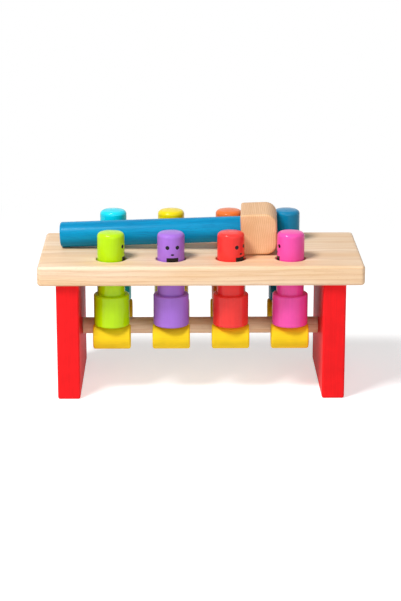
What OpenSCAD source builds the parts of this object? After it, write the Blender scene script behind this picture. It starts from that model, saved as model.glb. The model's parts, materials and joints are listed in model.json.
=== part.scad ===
// Peg pounding bench: eight captive pegs over four see-saw rockers, with a mallet lying on the board.
// Origin on the floor under the middle of the board, X along the bench, Y to the back, Z up.

/* [Board] */
// Length of the top board
board_len = 308; // [260:1:400]
// Depth of the top board, front to back
board_depth = 138; // [118:1:180]
// Thickness of the top board
board_t = 19; // [14:0.5:26]
// Height of the top of the board above the floor
board_top = 132; // [120:1:180]
// Rounding of the board's edges
board_ease = 3; // [1:0.5:6]
// Rounding of the board's corners, seen from above
board_corner = 4; // [3:0.5:12]

/* [Legs] */
// Thickness of each leg panel
leg_t = 21.5; // [18:0.5:28]
// Distance of a leg's outer face in from the end of the board
leg_inset = 17; // [6:0.5:25]
// Distance of a leg's front and back edges in from those of the board
leg_setback = 5; // [1:0.5:15]
// Rounding of the legs' edges
leg_ease = 2; // [0.5:0.5:4]
// Number of dowels in each leg
dowels_per_leg = 3; // [2:1:4]
// Diameter of a leg dowel
dowel_d = 10; // [6:0.5:12]
// Depth of a dowel in the board
dowel_in_board = 10; // [6:0.5:12]
// Depth of a dowel in its leg
dowel_in_leg = 15; // [8:0.5:25]
// Rounding of a dowel's ends
dowel_ease = 1; // [0.5:0.5:2]

/* [Pegs] */
// Distance from the end of the board to the middle of its nearest pegs
end_margin = 68.5; // [62:0.25:76]
// Diameter of a peg where it goes through the board
peg_d = 26; // [20:0.5:27]
// Gap round a peg in its hole
peg_hole_gap = 1.5; // [0.5:0.1:2.5]
// Rounding of a peg's top edge
peg_round = 3; // [1:0.5:8]
// Height of a peg above the board while its rocker is level
peg_proud = 29; // [20:0.5:40]
// Diameter of a peg's wide lower body
peg_body_d = 34; // [32:0.5:36]
// Rounding of the edges of a peg's lower body
peg_body_ease = 1.5; // [0.5:0.5:4]

/* [Rockers] */
// Height of the pivot above the floor
pivot_z = 55; // [48:0.5:60]
// Diameter of the pivot rod
rod_d = 6; // [4:0.5:7]
// Depth of the rod in each leg
rod_in_leg = 13; // [8:0.5:16]
// Outer diameter of a spacer sleeve
spacer_d = 16; // [10:0.5:20]
// Width of a rocker arm, along the bench
arm_w = 24; // [16:0.5:30]
// Thickness of a rocker arm
arm_t = 13; // [10:0.5:14]
// Rounding of an arm's long edges
arm_ease = 1.5; // [0.5:0.5:3]
// Diameter of a round pad
pad_d = 24; // [20:0.5:28]
// Length of a round pad, along the bench
pad_len = 36; // [32:0.5:44]
// Rounding of a pad's end edges
pad_ease = 2; // [0.5:0.5:4]
// Height of the pads' centres above the pivot while the rocker is level
pad_rise = 2; // [0:0.5:3]
// Depth of an arm's end in its pad
pad_pocket = 9; // [5:0.5:11]
// Tilt of the rockers at rest, back pads up
rest_tilt = 3.5; // [0:0.5:8]
// Largest tilt of a rocker to either side
swing = 20; // [12:0.5:22]

/* [Mallet] */
// Length of the handle outside the head
handle_len = 176; // [140:1:200]
// Diameter of the handle
handle_d = 24.5; // [18:0.5:28]
// Diameter of the handle's end inside the head
tenon_d = 16; // [10:0.5:17]
// Length of the handle's end inside the head
tenon_len = 24; // [15:0.5:28]
// Width of the head, along the handle
head_w = 34.5; // [30:0.5:42]
// Length of the head between its striking faces
head_len = 56; // [34:0.5:64]
// Height of the head
head_h = 39.5; // [30:0.5:46]
// Rounding of the head's two edges on the far side from the handle
head_round = 11; // [4:0.5:14]
// Rounding of the mallet's other edges
mallet_ease = 2; // [1:0.5:3]
// Turn of the lying mallet, end of the handle to the back
mallet_turn = 2.75; // [0:0.25:4]

/* [Clearances] */
// Gap round a glued dowel, rod end, tenon or arm end in its hole
glue_gap = 0.1; // [0.05:0.05:0.2]
// Empty depth past the end of a dowel, rod or tenon
hole_spare = 0.5; // [0.2:0.1:1]
// Gap round the rod in an arm or a spacer
turning_gap = 0.2; // [0.1:0.05:0.4]
// Gap between the end faces of arms, spacers and legs
side_gap = 0.3; // [0.2:0.1:0.8]
// Gap between a peg and its pad at rest
peg_gap = 0.4; // [0.35:0.05:0.6]
// Gap between a peg's shoulder and the board when the peg is right up
shoulder_gap = 0.5; // [0.3:0.1:1]
// Gap between the lying mallet and the board
lying_gap = 0.25; // [0.1:0.05:0.5]
// Gap between the corners of the lying mallet's head and the pegs
lane_gap = 1; // [0.5:0.1:3]

/* [Hidden] */
$fn = 64;

// Length by which a through cut runs past each face
CUT = 1;

COLUMNS = [1, 2, 3, 4];
FRONT = -1;
BACK = 1;

// Colours, columns from left to right
NATURAL = "#EBCBA6";
RED = "#F0282E";
YELLOW = "#F8D63C";
BLUE = "#0A86B8";
STEEL = "#B8BABD";
FRONT_COLOURS = ["#BEE605", "#B074E4", "#F8423C", "#F855AE"];
BACK_COLOURS = ["#10DCEC", "#F8EE30", "#F47A38", "#0A8EC4"];

board_under = board_top - board_t;
leg_outer = board_len / 2 - leg_inset;
leg_inner = leg_outer - leg_t;
leg_depth = board_depth - 2 * leg_setback;
dowel_pitch = leg_depth / dowels_per_leg;

column_pitch = (board_len - 2 * end_margin) / (len(COLUMNS) - 1);

// The head of the lying mallet reaches in between the pegs of both rows, as far as its corners clear them:
// corner 1 is the one that the mallet's turn brings nearer to a peg, and corner -1 the other
function corner_x(corner) = (head_w * cos(mallet_turn) + corner * head_len * sin(mallet_turn)) / 2;
function corner_y(corner) = (head_len * cos(mallet_turn) - corner * head_w * sin(mallet_turn)) / 2;
function beside(corner) = max(0, column_pitch / 2 - corner_x(corner));
function row_past(corner) = sqrt(max(0, pow(peg_d / 2 + lane_gap, 2) - pow(beside(corner), 2)));
row_y = max([for (corner = [-1, 1]) corner_y(corner) + row_past(corner)]);

peg_hole_d = peg_d + 2 * peg_hole_gap;

// The pads' and pegs' heights follow the rocker's tilt
function column_x(i) = (i - (len(COLUMNS) + 1) / 2) * column_pitch;
function pad_z(side, tilt) = pivot_z + side * row_y * sin(tilt) + pad_rise * cos(tilt);
function peg_z(side, tilt) = pad_z(side, tilt) + pad_d / 2 + peg_gap;
peg_body_h = board_under - shoulder_gap - peg_z(BACK, swing);
peg_len = board_top + peg_proud - peg_z(BACK, 0);

// The arm stops at the floor of the pocket in each pad
pocket_floor = row_y - pad_d / 2 + pad_pocket;
rod_half = leg_inner + rod_in_leg;

// The mallet leans on the end of its handle and on the near edge of its head
mallet_tilt = atan((head_h - handle_d) / 2 / handle_len);
mallet_low = mallet_ease * sin(mallet_tilt) - (handle_d / 2 - mallet_ease) * cos(mallet_tilt) - mallet_ease;
mallet_z = board_top + lying_gap - mallet_low;
mallet_reach = (handle_len + head_w / 2) * cos(mallet_tilt);
head_x = (column_x(3) + column_x(4)) / 2;

// Rectangle with rounded corners, centred
module rounded_rect(w, h, r) {
    square([w - 2 * r, h], center = true);
    square([w, h - 2 * r], center = true);
    for (x = [-1, 1], y = [-1, 1])
        translate([x * (w / 2 - r), y * (h / 2 - r)]) circle(r);
}

// Block with rounded edges and, seen from above, rounded corners, centred
module eased_block(size, ease, corner) {
    intersection() {
        linear_extrude(height = size.z, center = true) rounded_rect(size.x, size.y, corner);
        rotate([90, 0, 0]) linear_extrude(height = size.y, center = true)
            rounded_rect(size.x, size.z, ease);
        rotate([90, 0, 90]) linear_extrude(height = size.x, center = true)
            rounded_rect(size.y, size.z, ease);
    }
}

// Half outline of a turned piece from z = 0 up, with rounded lower and upper edges
module turned_outline(r, h, low_round, high_round) {
    translate([0, low_round]) square([r, h - low_round - high_round]);
    square([r - low_round, low_round]);
    translate([r - low_round, low_round]) intersection() {
        circle(low_round);
        translate([0, -low_round]) square(low_round);
    }
    translate([0, h - high_round]) square([r - high_round, high_round]);
    translate([r - high_round, h - high_round]) intersection() {
        circle(high_round);
        square(high_round);
    }
}

module at_dowels(side) {
    for (i = [0:dowels_per_leg - 1])
        translate([side * (leg_outer - leg_t / 2), (i - (dowels_per_leg - 1) / 2) * dowel_pitch, board_under])
            children();
}

// Holes for one leg's dowels, through the joint between leg and board
module dowel_holes(side) {
    at_dowels(side)
        translate([0, 0, -dowel_in_leg - hole_spare])
            cylinder(d = dowel_d + 2 * glue_gap, h = dowel_in_leg + dowel_in_board + 2 * hole_spare);
}

module rod_holes(gap, spare) {
    rotate([0, 90, 0]) cylinder(d = rod_d + 2 * gap, h = 2 * (rod_half + spare), center = true);
}

module top_board() {
    color(NATURAL) difference() {
        translate([0, 0, board_top - board_t / 2])
            eased_block([board_len, board_depth, board_t], board_ease, board_corner);
        for (i = COLUMNS, side = [FRONT, BACK])
            translate([column_x(i), side * row_y, board_under - CUT])
                cylinder(d = peg_hole_d, h = board_t + 2 * CUT);
        dowel_holes(-1);
        dowel_holes(1);
    }
}

module leg(side) {
    color(RED) difference() {
        translate([side * (leg_outer - leg_t / 2), 0, board_under / 2])
            eased_block([leg_t, leg_depth, board_under], leg_ease, leg_ease);
        dowel_holes(side);
        translate([0, 0, pivot_z]) rod_holes(glue_gap, hole_spare);
    }
}

module leg_dowels(side) {
    color(NATURAL) at_dowels(side)
        translate([0, 0, -dowel_in_leg]) rotate_extrude()
            turned_outline(dowel_d / 2, dowel_in_leg + dowel_in_board, dowel_ease, dowel_ease);
}

module pivot_rod() {
    color(STEEL) translate([0, 0, pivot_z]) rod_holes(0, 0);
}

// Sleeve i fills the rod between arms i - 1 and i, or between an end arm and its leg
module spacer(i) {
    from = i == 1 ? -leg_inner : column_x(i - 1) + arm_w / 2;
    to = i == len(COLUMNS) + 1 ? leg_inner : column_x(i) - arm_w / 2;
    color(NATURAL) translate([from + side_gap, 0, pivot_z]) rotate([0, 90, 0]) difference() {
        cylinder(d = spacer_d, h = to - from - 2 * side_gap);
        translate([0, 0, -CUT]) cylinder(d = rod_d + 2 * turning_gap, h = to - from + 2 * CUT);
    }
}

module at_rocker(i) {
    translate([column_x(i), 0, pivot_z]) rotate([rest_tilt, 0, 0]) children();
}

// The arm's bar, also the shape of the pockets for its ends when it is given a gap
module arm_bar(gap) {
    rotate([90, 0, 0]) linear_extrude(height = 2 * pocket_floor, center = true)
        rounded_rect(arm_w + 2 * gap, arm_t + 2 * gap, arm_ease + gap);
}

module rocker_arm(i) {
    color(NATURAL) at_rocker(i) difference() {
        arm_bar(0);
        rotate([0, 90, 0]) cylinder(d = rod_d + 2 * turning_gap, h = arm_w + 2 * CUT, center = true);
    }
}

module pad(i, side) {
    color(YELLOW) at_rocker(i) difference() {
        translate([-pad_len / 2, side * row_y, pad_rise]) rotate([0, 90, 0]) rotate_extrude()
            turned_outline(pad_d / 2, pad_len, pad_ease, pad_ease);
        arm_bar(glue_gap);
    }
}

module peg(i, side) {
    colours = side == FRONT ? FRONT_COLOURS : BACK_COLOURS;
    color(colours[i - 1]) translate([column_x(i), side * row_y, peg_z(side, rest_tilt)])
        rotate_extrude() union() {
            turned_outline(peg_body_d / 2, peg_body_h, peg_body_ease, peg_body_ease);
            turned_outline(peg_d / 2, peg_len, peg_body_ease, peg_round);
        }
}

module at_mallet() {
    translate([head_x, 0, mallet_z]) rotate([0, 0, -mallet_turn]) translate([-mallet_reach, 0, 0])
        rotate([0, -mallet_tilt, 0]) children();
}

module mallet_handle() {
    color(BLUE) at_mallet() rotate([0, 90, 0]) rotate_extrude() union() {
        turned_outline(handle_d / 2, handle_len, mallet_ease, mallet_ease / 2);
        turned_outline(tenon_d / 2, handle_len + tenon_len, mallet_ease, mallet_ease / 2);
    }
}

// Side outline of the head, with its left edge at x = 0
module head_outline() {
    near_w = head_w - head_round;
    translate([near_w / 2, 0]) rounded_rect(near_w, head_h, mallet_ease);
    far_w = head_w - mallet_ease;
    translate([head_w - far_w / 2, 0]) rounded_rect(far_w, head_h, head_round);
}

module mallet_head() {
    color(NATURAL) at_mallet() translate([handle_len, 0, 0]) difference() {
        intersection() {
            rotate([90, 0, 0]) linear_extrude(height = head_len, center = true) head_outline();
            translate([head_w / 2, 0, 0]) linear_extrude(height = head_h, center = true)
                rounded_rect(head_w, head_len, mallet_ease);
            rotate([90, 0, 90]) linear_extrude(height = head_w)
                rounded_rect(head_len, head_h, mallet_ease);
        }
        translate([-CUT, 0, 0]) rotate([0, 90, 0])
            cylinder(d = tenon_d + 2 * glue_gap, h = tenon_len + hole_spare + CUT);
    }
}

top_board();
leg(-1);  // left_leg
leg(1);  // right_leg
leg_dowels(-1);  // left_leg_dowels
leg_dowels(1);  // right_leg_dowels
pivot_rod();
for (i = [1:len(COLUMNS) + 1]) {
    spacer(i);
}
for (i = COLUMNS) {
    rocker_arm(i);
    pad(i, FRONT);
    pad(i, BACK);
    peg(i, FRONT);
    peg(i, BACK);
}
mallet_handle();
mallet_head();
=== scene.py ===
import json
from contextlib import contextmanager
from math import atan, cos, pi, radians, sin

import bmesh
import bpy
from mathutils import Matrix, Vector


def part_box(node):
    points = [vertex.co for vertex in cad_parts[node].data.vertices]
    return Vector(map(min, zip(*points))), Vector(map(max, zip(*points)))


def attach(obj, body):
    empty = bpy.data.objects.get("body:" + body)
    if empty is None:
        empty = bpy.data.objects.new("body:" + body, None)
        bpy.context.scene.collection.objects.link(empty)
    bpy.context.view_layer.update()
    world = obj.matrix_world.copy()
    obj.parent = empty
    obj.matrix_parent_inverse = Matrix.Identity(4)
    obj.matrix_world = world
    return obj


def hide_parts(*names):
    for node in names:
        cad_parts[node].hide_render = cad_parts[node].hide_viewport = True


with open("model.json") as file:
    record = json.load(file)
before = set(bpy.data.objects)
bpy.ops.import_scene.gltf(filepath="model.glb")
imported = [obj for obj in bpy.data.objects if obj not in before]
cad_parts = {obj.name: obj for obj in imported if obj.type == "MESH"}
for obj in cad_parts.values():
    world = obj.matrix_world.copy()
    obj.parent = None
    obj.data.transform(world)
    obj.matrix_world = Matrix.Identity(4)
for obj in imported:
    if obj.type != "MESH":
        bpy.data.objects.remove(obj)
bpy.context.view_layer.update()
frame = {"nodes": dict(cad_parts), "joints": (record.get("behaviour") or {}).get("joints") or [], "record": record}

# Sizes in metres that the boxes of the frame's nodes don't give
MM = 0.001
ROUND = 96
TOUCH = 0.01 * MM
PEG_HOLE_D = 29 * MM
PEG_D = 26 * MM
PEG_BODY_D = 34 * MM
PEG_BODY_H = 30.55 * MM
PEG_ROUND = 4 * MM
PEG_CROWN = 0.8 * MM
PEG_BODY_EASE = 1.5 * MM
BOARD_CORNER = 4 * MM
BOARD_EASE = 3 * MM
HOLE_EASE = 0.7 * MM
LEG_EASE = 2 * MM
DOWELS = 3
DOWEL_D = 10 * MM
ROD_D = 6 * MM
GLUE_GAP = 0.1 * MM
TURNING_GAP = 0.2 * MM
HOLE_SPARE = 0.5 * MM
ARM_W = 24 * MM
ARM_T = 13 * MM
ARM_EASE = 1.5 * MM
PAD_D = 24 * MM
PAD_LEN = 36 * MM
PAD_EASE = 2 * MM
PAD_RISE = 2 * MM
PAD_POCKET = 9 * MM
SPACER_EASE = 0.6 * MM
REST_TILT = radians(3.5)
HANDLE_LEN = 176 * MM
HANDLE_D = 24.5 * MM
TENON_D = 16 * MM
TENON_LEN = 24 * MM
HEAD_W = 34.5 * MM
HEAD_LEN = 56 * MM
HEAD_H = 39.5 * MM
HEAD_ROUND = 11 * MM
MALLET_EASE = 2 * MM
MALLET_TURN = radians(2.75)
LYING_GAP = 0.25 * MM

COLUMNS = (1, 2, 3, 4)
SIDES = {"front": -1, "back": 1}
JOINTS = {joint["name"]: joint for joint in frame["joints"]}
BODY_OF = {node: body for body, nodes in frame["record"]["behaviour"]["bodies"].items() for node in nodes}


def middle_of(node):
    low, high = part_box(node)
    return (low + high) / 2


def size_of(node):
    low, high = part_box(node)
    return high - low


# Camera, floor, world and lamps
CAMERA_TARGET = Vector((0.0001, 0, 0.0798))
CAMERA_DISTANCE = 1.7926
CAMERA_AZIMUTH = radians(-0.688)
CAMERA_ELEVATION = radians(15.775)
CAMERA_LENS = 109.63

WHITE = (1, 1, 1, 1)
AMBIENT = 0.14
FLOOR_DROP = 0.1 * MM
FLOOR_SIZE = 16
FLOOR_TONE = (0.88, 0.88, 0.88, 1)
FLOOR_LIFT = 0.55
FLOOR_NEAR = 0.35
FLOOR_FAR = 0.8


def away(azimuth, elevation):
    """Direction from the object; azimuth 0 is the front, positive to the right."""
    flat = cos(elevation)
    return Vector((sin(azimuth) * flat, -cos(azimuth) * flat, sin(elevation)))


def aimed(place, target):
    return (target - place).to_track_quat("-Z", "Y").to_matrix().to_4x4()


def set_camera():
    lens = bpy.data.cameras.new("camera")
    lens.lens = CAMERA_LENS
    camera = bpy.data.objects.new("camera", lens)
    bpy.context.scene.collection.objects.link(camera)
    place = CAMERA_TARGET + CAMERA_DISTANCE * away(CAMERA_AZIMUTH, CAMERA_ELEVATION)
    camera.matrix_world = Matrix.Translation(place) @ aimed(place, CAMERA_TARGET)
    bpy.context.scene.camera = camera


def softbox(name, azimuth, elevation, distance, size, power):
    lamp = bpy.data.lights.new(name, "AREA")
    lamp.shape = "SQUARE"
    lamp.size = size
    lamp.energy = power
    light = bpy.data.objects.new(name, lamp)
    bpy.context.scene.collection.objects.link(light)
    place = CAMERA_TARGET + distance * away(radians(azimuth), radians(elevation))
    light.matrix_world = Matrix.Translation(place) @ aimed(place, CAMERA_TARGET)


class Value:
    """An output of a node; Python's operators on it add Math nodes."""

    def __init__(self, tree, socket):
        self.tree = tree
        self.socket = socket

    def part(self, name):
        return Value(self.tree, self.socket.node.outputs[name])

    def math(self, operation, first, *others):
        return self.tree.node("Math", {"operation": operation}, dict(enumerate((first, *others))))

    def __add__(self, other):
        return self.math("ADD", self, other)

    def __radd__(self, other):
        return self.math("ADD", other, self)

    def __sub__(self, other):
        return self.math("SUBTRACT", self, other)

    def __rsub__(self, other):
        return self.math("SUBTRACT", other, self)

    def __mul__(self, other):
        return self.math("MULTIPLY", self, other)

    def __rmul__(self, other):
        return self.math("MULTIPLY", other, self)

    def __truediv__(self, other):
        return self.math("DIVIDE", self, other)

    def __pow__(self, other):
        return self.math("POWER", self, other)

    def __neg__(self):
        return self.math("MULTIPLY", self, -1)

    def __abs__(self):
        return self.math("ABSOLUTE", self)


class Nodes:
    """A node tree in which every node is made by one method."""

    def __init__(self, tree):
        self.tree = tree

    def node(self, kind, settings=None, inputs=None, out=0):
        made = self.tree.nodes.new("ShaderNode" + kind)
        for name, setting in (settings or {}).items():
            setattr(made, name, setting)
        for name, value in (inputs or {}).items():
            self.feed(made.inputs[name], value)
        return Value(self, made.outputs[out])

    def feed(self, socket, value):
        if isinstance(value, Value):
            self.tree.links.new(value.socket, socket)
        else:
            socket.default_value = value

    def blend(self, share, first, second):
        return self.node("Mix", {"data_type": "RGBA"}, {0: share, 6: first, 7: second}, out=2)

    def ramp(self, value, low, high, start=0.0, end=1.0):
        """Rises smoothly from start to end as the value goes from low to high."""
        settings = {"interpolation_type": "SMOOTHSTEP"}
        return self.node("MapRange", settings, {0: value, 1: low, 2: high, 3: start, 4: end})

    def stretched(self, place, scales):
        return self.node("VectorMath", {"operation": "MULTIPLY"}, {0: place, 1: scales})

    def noise(self, place, scales, detail=2.0):
        inputs = {"Vector": self.stretched(place, scales), "Scale": 1.0, "Detail": detail}
        return self.node("TexNoise", {}, inputs)


def seen_by_eye(nodes):
    """1 for rays that come straight from the camera, or by way of gloss or glass."""
    path = nodes.node("LightPath", out="Is Camera Ray")
    eye = path.math("MAXIMUM", path, path.part("Is Glossy Ray"))
    return eye.math("MAXIMUM", eye, path.part("Is Transmission Ray"))


def set_world():
    world = bpy.data.worlds.new("studio")
    world.use_nodes = True
    bpy.context.scene.world = world
    nodes = Nodes(world.node_tree)
    background = world.node_tree.nodes["Background"]
    background.inputs["Color"].default_value = WHITE
    nodes.feed(background.inputs["Strength"], nodes.ramp(seen_by_eye(nodes), 0, 1, AMBIENT, 1))


def lay_floor():
    bpy.ops.object.select_all(action="DESELECT")
    bpy.ops.mesh.primitive_plane_add(size=FLOOR_SIZE, location=(0, 0, -FLOOR_DROP))
    floor = bpy.context.object
    floor.name = "floor"
    material = bpy.data.materials.new("floor_white")
    material.use_nodes = True
    nodes = Nodes(material.node_tree)
    eye = seen_by_eye(nodes)
    place = nodes.node("TexCoord", out="Object")
    reach = nodes.node("VectorMath", {"operation": "LENGTH"}, {0: place}, out="Value")
    paper = nodes.node("BsdfDiffuse", {}, {"Color": FLOOR_TONE})
    lift = nodes.node("Emission", {}, {"Color": WHITE, "Strength": eye * FLOOR_LIFT})
    lit = nodes.node("AddShader", {}, {0: paper, 1: lift})
    bright = nodes.node("Emission", {}, {"Color": WHITE, "Strength": 1.0})
    far = eye * nodes.ramp(reach, FLOOR_NEAR, FLOOR_FAR)
    surface = nodes.node("MixShader", {}, {0: far, 1: lit, 2: bright})
    nodes.feed(material.node_tree.nodes["Material Output"].inputs["Surface"], surface)
    floor.data.materials.append(material)


# Finishes
def linear(red, green, blue):
    """A colour written as screen values from 0 to 255, for a shader's colour socket."""
    shares = (part / 255 for part in (red, green, blue))
    return (*(s / 12.92 if s <= 0.04045 else ((s + 0.055) / 1.055) ** 2.4 for s in shares), 1)


class Finish(Nodes):
    """A material with one Principled shader, fed from the piece's own place in the frame."""

    def __init__(self, name, **constants):
        self.material = bpy.data.materials.new(name)
        self.material.use_nodes = True
        super().__init__(self.material.node_tree)
        self.shader = self.tree.nodes["Principled BSDF"]
        for socket, value in constants.items():
            self.shader.inputs[socket.replace("_", " ")].default_value = value
        self.place = self.node("TexCoord", out="Object")

    def set(self, socket, value):
        self.feed(self.shader.inputs[socket], value)

    def relief(self, height, depth, strength=1.0):
        inputs = {"Height": height, "Distance": depth, "Strength": strength}
        self.set("Normal", self.node("Bump", {}, inputs))

    def along(self, grain, long, short):
        """Scales that stretch a pattern along the grain, in cycles a metre."""
        return tuple(long if axis == grain else short for axis in "XYZ")


# Wood: colours, rings, and patterns in cycles a metre along and across the grain
WOOD_PALE = linear(249, 223, 194)
WOOD_HONEY = linear(240, 203, 160)
WOOD_LINE = linear(208, 154, 100)
RING_PITCH = 4.2 * MM
HEAD_RING_PITCH = 1.7 * MM
RING_WANDER = 11 * MM
RING_SHARE = 0.4
HEAD_RING_SHARE = 0.9
WANDER_GRAIN = (5, 26)
FIBRE_GRAIN = (34, 1500)
TONE_GRAIN = (6, 55)
PORE_GRAIN = (190, 2600)
FIBRE_SHARE = 0.42
PORE_SHARE = 0.45
FIBRE_DEPTH = 0.05 * MM


def bare_wood(name, grain, pith, pale=WOOD_PALE, honey=WOOD_HONEY,
              ring_pitch=RING_PITCH, ring_share=RING_SHARE):
    """Sanded pale hardwood: growth rings round a pith, long fibres and short pores."""
    wood = Finish(name, Specular_IOR_Level=0.5)
    offset = wood.node("VectorMath", {"operation": "SUBTRACT"}, {0: wood.place, 1: pith})
    across = wood.stretched(offset, wood.along(grain, 0, 1))
    radius = wood.node("VectorMath", {"operation": "LENGTH"}, {0: across}, out="Value")
    wander = wood.noise(wood.place, wood.along(grain, *WANDER_GRAIN), 2)
    ring = (radius + wander * RING_WANDER) / ring_pitch
    late = ring.math("FRACT", ring) ** 3
    fibre = wood.noise(wood.place, wood.along(grain, *FIBRE_GRAIN), 3)
    tone = wood.noise(wood.place, wood.along(grain, *TONE_GRAIN), 3)
    pores = wood.ramp(wood.noise(wood.place, wood.along(grain, *PORE_GRAIN), 1), 0.66, 0.78)
    ground = wood.blend(wood.ramp(tone, 0.3, 0.7), pale, honey)
    ringed = wood.blend(late * ring_share, ground, WOOD_LINE)
    streaked = wood.blend(wood.ramp(fibre, 0.45, 0.8) * FIBRE_SHARE, ringed, WOOD_LINE)
    wood.set("Base Color", wood.blend(pores * PORE_SHARE, streaked, WOOD_LINE))
    wood.set("Roughness", 0.44 + 0.16 * fibre)
    wood.relief(fibre - pores, FIBRE_DEPTH, 0.35)
    return wood


# Paint and stain: patterns in cycles a metre, and the share of a colour in its darker parts
BELOW_GRAIN = (30, 900)
COAT_PATCHES = (90, 90, 90)
PAINT_PEEL = (1400, 1400, 1400)
SATIN_PATCHES = (260, 260, 260)
GLOSS_PATCHES = (300, 300, 300)
PAINT_DEPTH = 0.02 * MM
SATIN_DEEP = 0.9
GLOSS_DEEP = 0.93
STAIN_FIBRE = (26, 1200)
STAIN_BROAD = (9, 120)
STAIN_PORE = (130, 2300)
STEEL_LINES = (12, 3000, 3000)
STEEL_DEPTH = 0.01 * MM


def brushed_paint(finish, grain, colour, deep):
    """Paint over wood: a slightly uneven coat in which the grain below still shows faintly."""
    grain_below = finish.noise(finish.place, finish.along(grain, *BELOW_GRAIN), 3)
    coat = finish.noise(finish.place, COAT_PATCHES, 3)
    peel = finish.noise(finish.place, PAINT_PEEL, 1)
    uneven = finish.ramp(grain_below * 0.5 + coat * 0.5, 0.32, 0.68)
    finish.relief(grain_below + peel * 0.3, PAINT_DEPTH, 0.2)
    return finish.blend(uneven, deep, colour)


def darker(colour, share):
    return (*(part * share for part in colour[:3]), 1)


def satin_paint(name, grain, colour):
    paint = Finish(name, Specular_IOR_Level=0.06, Coat_Weight=0.03, Coat_Roughness=0.3)
    paint.set("Base Color", brushed_paint(paint, grain, colour, darker(colour, SATIN_DEEP)))
    rough = paint.noise(paint.place, SATIN_PATCHES, 2)
    paint.set("Roughness", 0.46 + 0.12 * rough)
    return paint


def stained_wood(name, grain, colour, deep, line):
    """Stain that soaks deeper into some fibres, under a clear satin coat."""
    stain = Finish(name, Specular_IOR_Level=0.06, Coat_Weight=0.14, Coat_Roughness=0.2)
    fibre = stain.noise(stain.place, stain.along(grain, *STAIN_FIBRE), 3)
    broad = stain.noise(stain.place, stain.along(grain, *STAIN_BROAD), 3)
    pores = stain.ramp(stain.noise(stain.place, stain.along(grain, *STAIN_PORE), 1), 0.64, 0.76)
    ground = stain.blend(stain.ramp(broad, 0.3, 0.7), deep, colour)
    streaked = stain.blend(stain.ramp(fibre, 0.45, 0.8) * 0.5, ground, line)
    stain.set("Base Color", stain.blend(pores * 0.5, streaked, line))
    stain.set("Roughness", 0.3 + 0.15 * fibre)
    stain.relief(fibre - pores, FIBRE_DEPTH, 0.3)
    return stain


def drawn_steel(name):
    steel = Finish(name, Metallic=1.0)
    lines = steel.noise(steel.place, STEEL_LINES, 2)
    steel.set("Base Color", steel.blend(lines, linear(176, 178, 182), linear(204, 206, 209)))
    steel.set("Roughness", 0.28 + 0.16 * lines)
    steel.relief(lines, STEEL_DEPTH, 0.4)
    return steel


# A peg's dot face, measured down from the top of the peg and round its side
FACE_INK = linear(26, 20, 24)
EYE_OUT = 4.88 * MM
EYE_DOWN = 13.4 * MM
EYE_D = 3.9 * MM
NOSE_DOWN = 20.2 * MM
NOSE_SIZE = (3.4 * MM, 1.8 * MM)
MOUTH_DOWN = 23.3 * MM
MOUTH_SIZE = (11.7 * MM, 15 * MM)
MOUTH_FULLNESS = 4
INK_EDGE = 0.12 * MM


def oval_mask(paint, out, down, size, fullness=2):
    """1 inside an oval round the point where out and down are zero; past 2, fullness squares it up."""
    across = abs(out / (size[0] / 2)) ** fullness
    height = abs(down / (size[1] / 2)) ** fullness
    reach = (across + height) ** (1 / fullness)
    edge = INK_EDGE / size[1]
    return paint.ramp(reach, 1 - edge, 1 + edge, 1, 0)


def dot_face(paint, middle, top, turn):
    """Mask of two round eyes, a small nose and an open smiling mouth on a peg's side."""
    inputs = {"Vector": paint.place, "Location": (middle.x, middle.y, top), "Rotation": (0, 0, turn)}
    place = paint.node("Mapping", {"vector_type": "TEXTURE"}, inputs)
    x = paint.node("SeparateXYZ", {}, {0: place})
    out = x.math("ARCTAN2", x, -x.part("Y")) * (PEG_D / 2)
    down = -x.part("Z")
    eyes = oval_mask(paint, abs(out) - EYE_OUT, down - EYE_DOWN, (EYE_D, EYE_D))
    nose = oval_mask(paint, out, down - NOSE_DOWN, NOSE_SIZE)
    below = paint.ramp(down, MOUTH_DOWN - INK_EDGE, MOUTH_DOWN + INK_EDGE)
    mouth = oval_mask(paint, out, down - MOUTH_DOWN, MOUTH_SIZE, MOUTH_FULLNESS) * below
    return eyes.math("MAXIMUM", eyes, nose.math("MAXIMUM", nose, mouth))


def peg_paint(name, colour, node, turn):
    """Glossy paint with the face printed on it, turned that far from the front."""
    paint = Finish(name, Specular_IOR_Level=0.03, Coat_Weight=0.4, Coat_Roughness=0.06)
    ground = brushed_paint(paint, "Z", colour, darker(colour, GLOSS_DEEP))
    face = dot_face(paint, middle_of(node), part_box(node)[1].z, radians(turn))
    paint.set("Base Color", paint.blend(face, ground, FACE_INK))
    paint.set("Roughness", 0.24 + 0.1 * paint.noise(paint.place, GLOSS_PATCHES, 2))
    return paint


# Ways of working a piece; a normal or direction with this share along an axis counts as along it
ALONG = 0.9


def alone(piece):
    bpy.ops.object.select_all(action="DESELECT")
    piece.select_set(True)
    bpy.context.view_layer.objects.active = piece


def start(kind, **settings):
    """A primitive at its size and place, alone in the selection."""
    bpy.ops.object.select_all(action="DESELECT")
    getattr(bpy.ops.mesh, f"primitive_{kind}_add")(**settings)
    bpy.ops.object.transform_apply(location=True, rotation=True, scale=True)
    return bpy.context.object


def block(middle, size):
    return start("cube", size=1, location=middle, scale=size)


# Turns that lay an upright round bar along each axis
TURNS = {"X": (0, pi / 2, 0), "Y": (pi / 2, 0, 0), "Z": (0, 0, 0)}


def dowel_stock(diameter, length, middle=(0, 0, 0), axis="Z"):
    """A round bar about a point, along an axis."""
    shape = {"vertices": ROUND, "radius": diameter / 2, "depth": length}
    return start("cylinder", location=middle, rotation=TURNS[axis], **shape)


@contextmanager
def edit(piece):
    alone(piece)
    bpy.ops.object.mode_set(mode="EDIT")
    yield
    bpy.ops.object.mode_set(mode="OBJECT")


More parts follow.
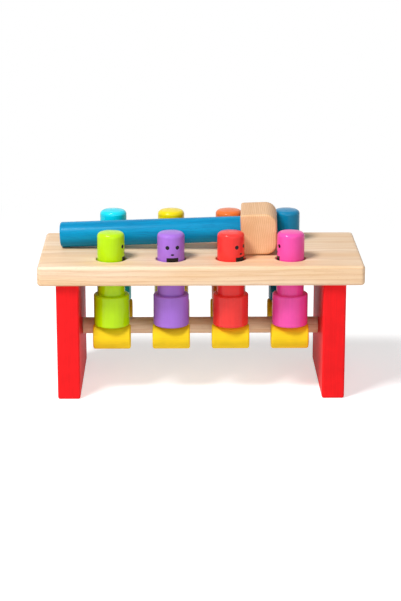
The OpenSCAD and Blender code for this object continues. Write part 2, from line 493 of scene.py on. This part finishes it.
def pick(piece, kind, wanted):
    """Selects the faces or edges that pass a test of their middle and of their normal or direction."""
    bpy.ops.mesh.select_mode(type=kind)
    bpy.ops.mesh.select_all(action="DESELECT")
    mesh = bmesh.from_edit_mesh(piece.data)
    for part in mesh.faces if kind == "FACE" else mesh.edges:
        points = [corner.co for corner in part.verts]
        middle = sum(points, Vector()) / len(points)
        way = part.normal if kind == "FACE" else (points[1] - points[0]).normalized()
        part.select_set(bool(wanted(middle, way)))
    mesh.select_flush_mode()
    bmesh.update_edit_mesh(piece.data)


def ease(piece, wanted, radius, segments):
    """Rounds the edges that pass the test."""
    pick(piece, "EDGE", wanted)
    bpy.ops.mesh.bevel(offset=radius, segments=segments, profile=0.5, affect="EDGES")


def near(value, target):
    return abs(value - target) < TOUCH


def cut_away(piece, tool):
    """Takes the tool's shape out of the piece."""
    alone(piece)
    cutting = piece.modifiers.new("cut", "BOOLEAN")
    cutting.operation = "DIFFERENCE"
    cutting.solver = "EXACT"
    cutting.object = tool
    bpy.ops.object.modifier_apply(modifier=cutting.name)
    bpy.data.objects.remove(tool)


def drill(piece, middle, axis, diameter, depth):
    cut_away(piece, dowel_stock(diameter, depth, middle, axis))


def even_shading(piece, angle=40):
    """Smooth over rounded edges, with the flats kept flat."""
    alone(piece)
    bpy.ops.object.shade_smooth_by_angle(angle=radians(angle))
    shading = piece.modifiers.new("even shading", "WEIGHTED_NORMAL")
    shading.keep_sharp = True
    bpy.ops.object.modifier_apply(modifier=shading.name)


def copied(piece):
    alone(piece)
    bpy.ops.object.duplicate(linked=False)
    return bpy.context.object


def settle(piece, matrix):
    """Moves a piece that was worked at the origin to its place, and writes the place into its mesh."""
    piece.matrix_world = matrix
    alone(piece)
    bpy.ops.object.transform_apply(location=True, rotation=True, scale=True)


def dress(piece, node, finish, word):
    """Names the piece, gives it its finish and lets it stand for its node."""
    piece.name = f"{word}_{node}"
    piece.data.name = piece.name
    piece.data.materials.clear()
    piece.data.materials.append(finish.material)
    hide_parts(node)
    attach(piece, BODY_OF[node])


def refinish(node, finish):
    """Gives a node of the frame that stays in view its finish."""
    materials = frame["nodes"][node].data.materials
    materials.clear()
    materials.append(finish.material)


# Board and legs
def dowel_places(node):
    low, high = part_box(node)
    first, last = low.y + DOWEL_D / 2, high.y - DOWEL_D / 2
    middle = (low + high) / 2
    return [Vector((middle.x, first + (last - first) * i / (DOWELS - 1), middle.z)) for i in range(DOWELS)]


def drill_for_dowels(piece, node):
    length = size_of(node).z + 2 * HOLE_SPARE
    for place in dowel_places(node):
        drill(piece, place, "Z", DOWEL_D + 2 * GLUE_GAP, length)


def make_board(finish):
    low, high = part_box("top_board")
    board = block((low + high) / 2, high - low)
    with edit(board):
        ease(board, lambda middle, way: abs(way.z) > ALONG, BOARD_CORNER, 6)
        ease(board, lambda middle, way: near(middle.z, low.z) or near(middle.z, high.z), BOARD_EASE, 6)
    holes = [middle_of(f"{side}_peg_{i}") for side in SIDES for i in COLUMNS]
    for hole in holes:
        drill(board, (hole.x, hole.y, (low.z + high.z) / 2), "Z", PEG_HOLE_D, 2 * (high.z - low.z))

    def on_rim(middle, way):
        reach = min((middle - hole).to_2d().length for hole in holes)
        flat = near(middle.z, low.z) or near(middle.z, high.z)
        return flat and abs(reach - PEG_HOLE_D / 2) < 2 * TOUCH

    with edit(board):
        ease(board, on_rim, HOLE_EASE, 3)
    for end in ("left", "right"):
        drill_for_dowels(board, f"{end}_leg_dowels")
    even_shading(board)
    dress(board, "top_board", finish, "planed")


def make_leg(end, finish):
    node = f"{end}_leg"
    leg = block(middle_of(node), size_of(node))
    with edit(leg):
        ease(leg, lambda middle, way: True, LEG_EASE, 5)
    drill_for_dowels(leg, f"{end}_leg_dowels")
    rod_middle = middle_of("pivot_rod")
    drill(leg, rod_middle, "X", ROD_D + 2 * GLUE_GAP, size_of("pivot_rod").x + 2 * HOLE_SPARE)
    even_shading(leg)
    dress(leg, node, finish, "painted")


# Pegs; the crown rises in rings at these shares of its radius
CROWN_RINGS = (1, 0.72, 0.45, 0.2)


def turn_peg(length):
    """One peg standing on the origin: a wide body, a shank and a softly crowned top."""
    peg = dowel_stock(PEG_BODY_D, PEG_BODY_H, (0, 0, PEG_BODY_H / 2))
    shank_top = length - PEG_CROWN
    with edit(peg):
        pick(peg, "FACE", lambda middle, way: way.z > ALONG)
        bpy.ops.mesh.inset(thickness=(PEG_BODY_D - PEG_D) / 2)
        rise = (0, 0, shank_top - PEG_BODY_H)
        bpy.ops.mesh.extrude_region_move(TRANSFORM_OT_translate={"value": rise})
        ease(peg, lambda middle, way: near(middle.z, shank_top), PEG_ROUND, 8)
        flat = PEG_D / 2 - PEG_ROUND
        pick(peg, "FACE", lambda middle, way: way.z > ALONG and near(middle.z, shank_top))
        for outer, inner in zip(CROWN_RINGS, CROWN_RINGS[1:]):
            rise = PEG_CROWN * (outer ** 2 - inner ** 2)
            bpy.ops.mesh.inset(thickness=flat * (outer - inner), depth=rise)

        def on_body_rim(middle, way):
            at_rim = near(middle.z, 0) or near(middle.z, PEG_BODY_H)
            return at_rim and middle.to_2d().length > (PEG_BODY_D + PEG_D) / 4

        ease(peg, on_body_rim, PEG_BODY_EASE, 4)
    even_shading(peg)
    return peg


# Colour of each peg and how far its face is turned from the front, in columns from the left
PEG_LOOKS = {
    "front": (
        ("green", (188, 236, 0), 82),
        ("purple", (170, 114, 220), 7),
        ("red", (250, 58, 54), 46),
        ("pink", (250, 82, 176), -82),
    ),
    "back": (
        ("teal", (6, 226, 246), 105),
        ("yellow", (250, 226, 0), 176),
        ("orange", (246, 122, 50), -130),
        ("blue", (0, 136, 184), 178),
    ),
}


def make_pegs():
    pattern = turn_peg(size_of("front_peg_1").z)
    for side in SIDES:
        for i in COLUMNS:
            node = f"{side}_peg_{i}"
            word, colour, turn = PEG_LOOKS[side][i - 1]
            peg = copied(pattern)
            middle = middle_of(node)
            settle(peg, Matrix.Translation((middle.x, middle.y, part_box(node)[0].z)))
            dress(peg, node, peg_paint(f"glossy_{word}", linear(*colour), node, turn), "turned")
    bpy.data.objects.remove(pattern)


# Rockers
ROW_Y = middle_of("back_peg_1").y
POCKET_FLOOR = ROW_Y - PAD_D / 2 + PAD_POCKET


def arm_stock(gap):
    """The bar of a rocker arm about the origin, made larger all round by a gap."""
    width, thick = ARM_W + 2 * gap, ARM_T + 2 * gap
    arm = block((0, 0, 0), (width, 2 * POCKET_FLOOR, thick))
    with edit(arm):
        ease(arm, lambda middle, way: abs(way.y) > ALONG, ARM_EASE + gap, 4)
    return arm


def plane_arm():
    arm = arm_stock(0)
    drill(arm, (0, 0, 0), "X", ROD_D + 2 * TURNING_GAP, 2 * ARM_W)
    even_shading(arm)
    return arm


def turn_pad(side):
    """A round pad with eased ends and a pocket for the end of its arm."""
    middle = Vector((0, side * ROW_Y, PAD_RISE))
    pad = dowel_stock(PAD_D, PAD_LEN, middle, "X")
    with edit(pad):
        ease(pad, lambda middle, way: near(abs(middle.x), PAD_LEN / 2), PAD_EASE, 5)
    cut_away(pad, arm_stock(GLUE_GAP))
    even_shading(pad)
    return pad


def make_rockers(wood, paint):
    arm_pattern = plane_arm()
    pad_patterns = {side: turn_pad(way) for side, way in SIDES.items()}
    for i in COLUMNS:
        pivot = Vector(JOINTS[f"rocker_{i}_pivot"]["pos_m"])
        tilted = Matrix.Translation(pivot) @ Matrix.Rotation(REST_TILT, 4, "X")
        arm = copied(arm_pattern)
        settle(arm, tilted)
        dress(arm, f"rocker_arm_{i}", wood, "planed")
        for side, pattern in pad_patterns.items():
            pad = copied(pattern)
            settle(pad, tilted)
            dress(pad, f"{side}_pad_{i}", paint, "turned")
    for pattern in (arm_pattern, *pad_patterns.values()):
        bpy.data.objects.remove(pattern)


def make_spacer(i, finish):
    """A sleeve bored for the rod, with its outer rims eased."""
    node = f"spacer_{i}"
    low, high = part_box(node)
    diameter = high.z - low.z
    spacer = dowel_stock(diameter, high.x - low.x, (low + high) / 2, "X")
    with edit(spacer):
        ease(spacer, lambda middle, way: near(middle.x, low.x) or near(middle.x, high.x), SPACER_EASE, 3)
    drill(spacer, (low + high) / 2, "X", ROD_D + 2 * TURNING_GAP, 2 * (high.x - low.x))
    even_shading(spacer)
    dress(spacer, node, finish, "bored")


# Mallet, lying on the board on the end of its handle and the near edge of its head
def mallet_place():
    lean = atan((HEAD_H - HANDLE_D) / 2 / HANDLE_LEN)
    low = MALLET_EASE * sin(lean) - (HANDLE_D / 2 - MALLET_EASE) * cos(lean) - MALLET_EASE
    head_x = (middle_of("front_peg_3").x + middle_of("front_peg_4").x) / 2
    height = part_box("top_board")[1].z + LYING_GAP - low
    reach = (HANDLE_LEN + HEAD_W / 2) * cos(lean)
    turned = Matrix.Translation((head_x, 0, height)) @ Matrix.Rotation(-MALLET_TURN, 4, "Z")
    return turned @ Matrix.Translation((-reach, 0, 0)) @ Matrix.Rotation(-lean, 4, "Y")


def make_handle(finish, place):
    """A round bar with an eased free end, stepped down to the tenon that goes into the head."""
    handle = dowel_stock(HANDLE_D, HANDLE_LEN, (HANDLE_LEN / 2, 0, 0), "X")
    with edit(handle):
        pick(handle, "FACE", lambda middle, way: way.x > ALONG)
        bpy.ops.mesh.inset(thickness=(HANDLE_D - TENON_D) / 2)
        bpy.ops.mesh.extrude_region_move(TRANSFORM_OT_translate={"value": (TENON_LEN, 0, 0)})
        ease(handle, lambda middle, way: near(middle.x, 0), MALLET_EASE, 6)
        ease(handle, lambda middle, way: near(middle.x, HANDLE_LEN + TENON_LEN), MALLET_EASE / 2, 3)
    even_shading(handle)
    settle(handle, place)
    dress(handle, "mallet_handle", finish, "turned")


def make_head(finish, place):
    head = block((HANDLE_LEN + HEAD_W / 2, 0, 0), (HEAD_W, HEAD_LEN, HEAD_H))
    with edit(head):
        far = HANDLE_LEN + HEAD_W
        ease(head, lambda middle, way: abs(way.y) > ALONG and near(middle.x, far), HEAD_ROUND, 10)
        ease(head, lambda middle, way: abs(way.y) > ALONG and near(middle.x, HANDLE_LEN), MALLET_EASE, 5)
        ease(head, lambda middle, way: near(abs(middle.y), HEAD_LEN / 2), MALLET_EASE, 5)
    bore = TENON_LEN + HOLE_SPARE
    drill(head, (HANDLE_LEN, 0, 0), "X", TENON_D + 2 * GLUE_GAP, 2 * bore)
    even_shading(head)
    settle(head, place)
    dress(head, "mallet_head", finish, "shaped")


# Middle of the growth rings of each bare wood, in metres
BOARD_PITH = (0, -0.03, 0.06)
ROCKER_PITH = (0.02, 0, 0.02)
SLEEVE_PITH = (0, 0.01, 0.03)
HEAD_PITH = (-0.14, 0, 0.13)

set_camera()
set_world()
lay_floor()
softbox("key", azimuth=-44, elevation=54, distance=1.6, size=0.5, power=23.5)
softbox("fill", azimuth=14, elevation=22, distance=2, size=1.6, power=10.5)
bpy.context.scene.view_settings.view_transform = "Standard"

board_wood = bare_wood("board_wood", "X", BOARD_PITH)
rocker_wood = bare_wood("rocker_wood", "Y", ROCKER_PITH)
sleeve_wood = bare_wood("sleeve_wood", "X", SLEEVE_PITH)
head_tones = (linear(242, 198, 154), linear(230, 180, 132))
head_wood = bare_wood("head_wood", "Y", HEAD_PITH, *head_tones, HEAD_RING_PITCH, HEAD_RING_SHARE)
leg_red = satin_paint("leg_red", "Z", linear(248, 32, 36))
pad_yellow = satin_paint("pad_yellow", "X", linear(253, 214, 36))
handle_blue = stained_wood("handle_blue", "X", linear(0, 152, 202), linear(0, 130, 180), linear(0, 100, 148))

make_board(board_wood)
for end in ("left", "right"):
    make_leg(end, leg_red)
    refinish(f"{end}_leg_dowels", sleeve_wood)
refinish("pivot_rod", drawn_steel("rod_steel"))
make_pegs()
make_rockers(rocker_wood, pad_yellow)
for i in (*COLUMNS, len(COLUMNS) + 1):
    make_spacer(i, sleeve_wood)
lying = mallet_place()
make_handle(handle_blue, lying)
make_head(head_wood, lying)
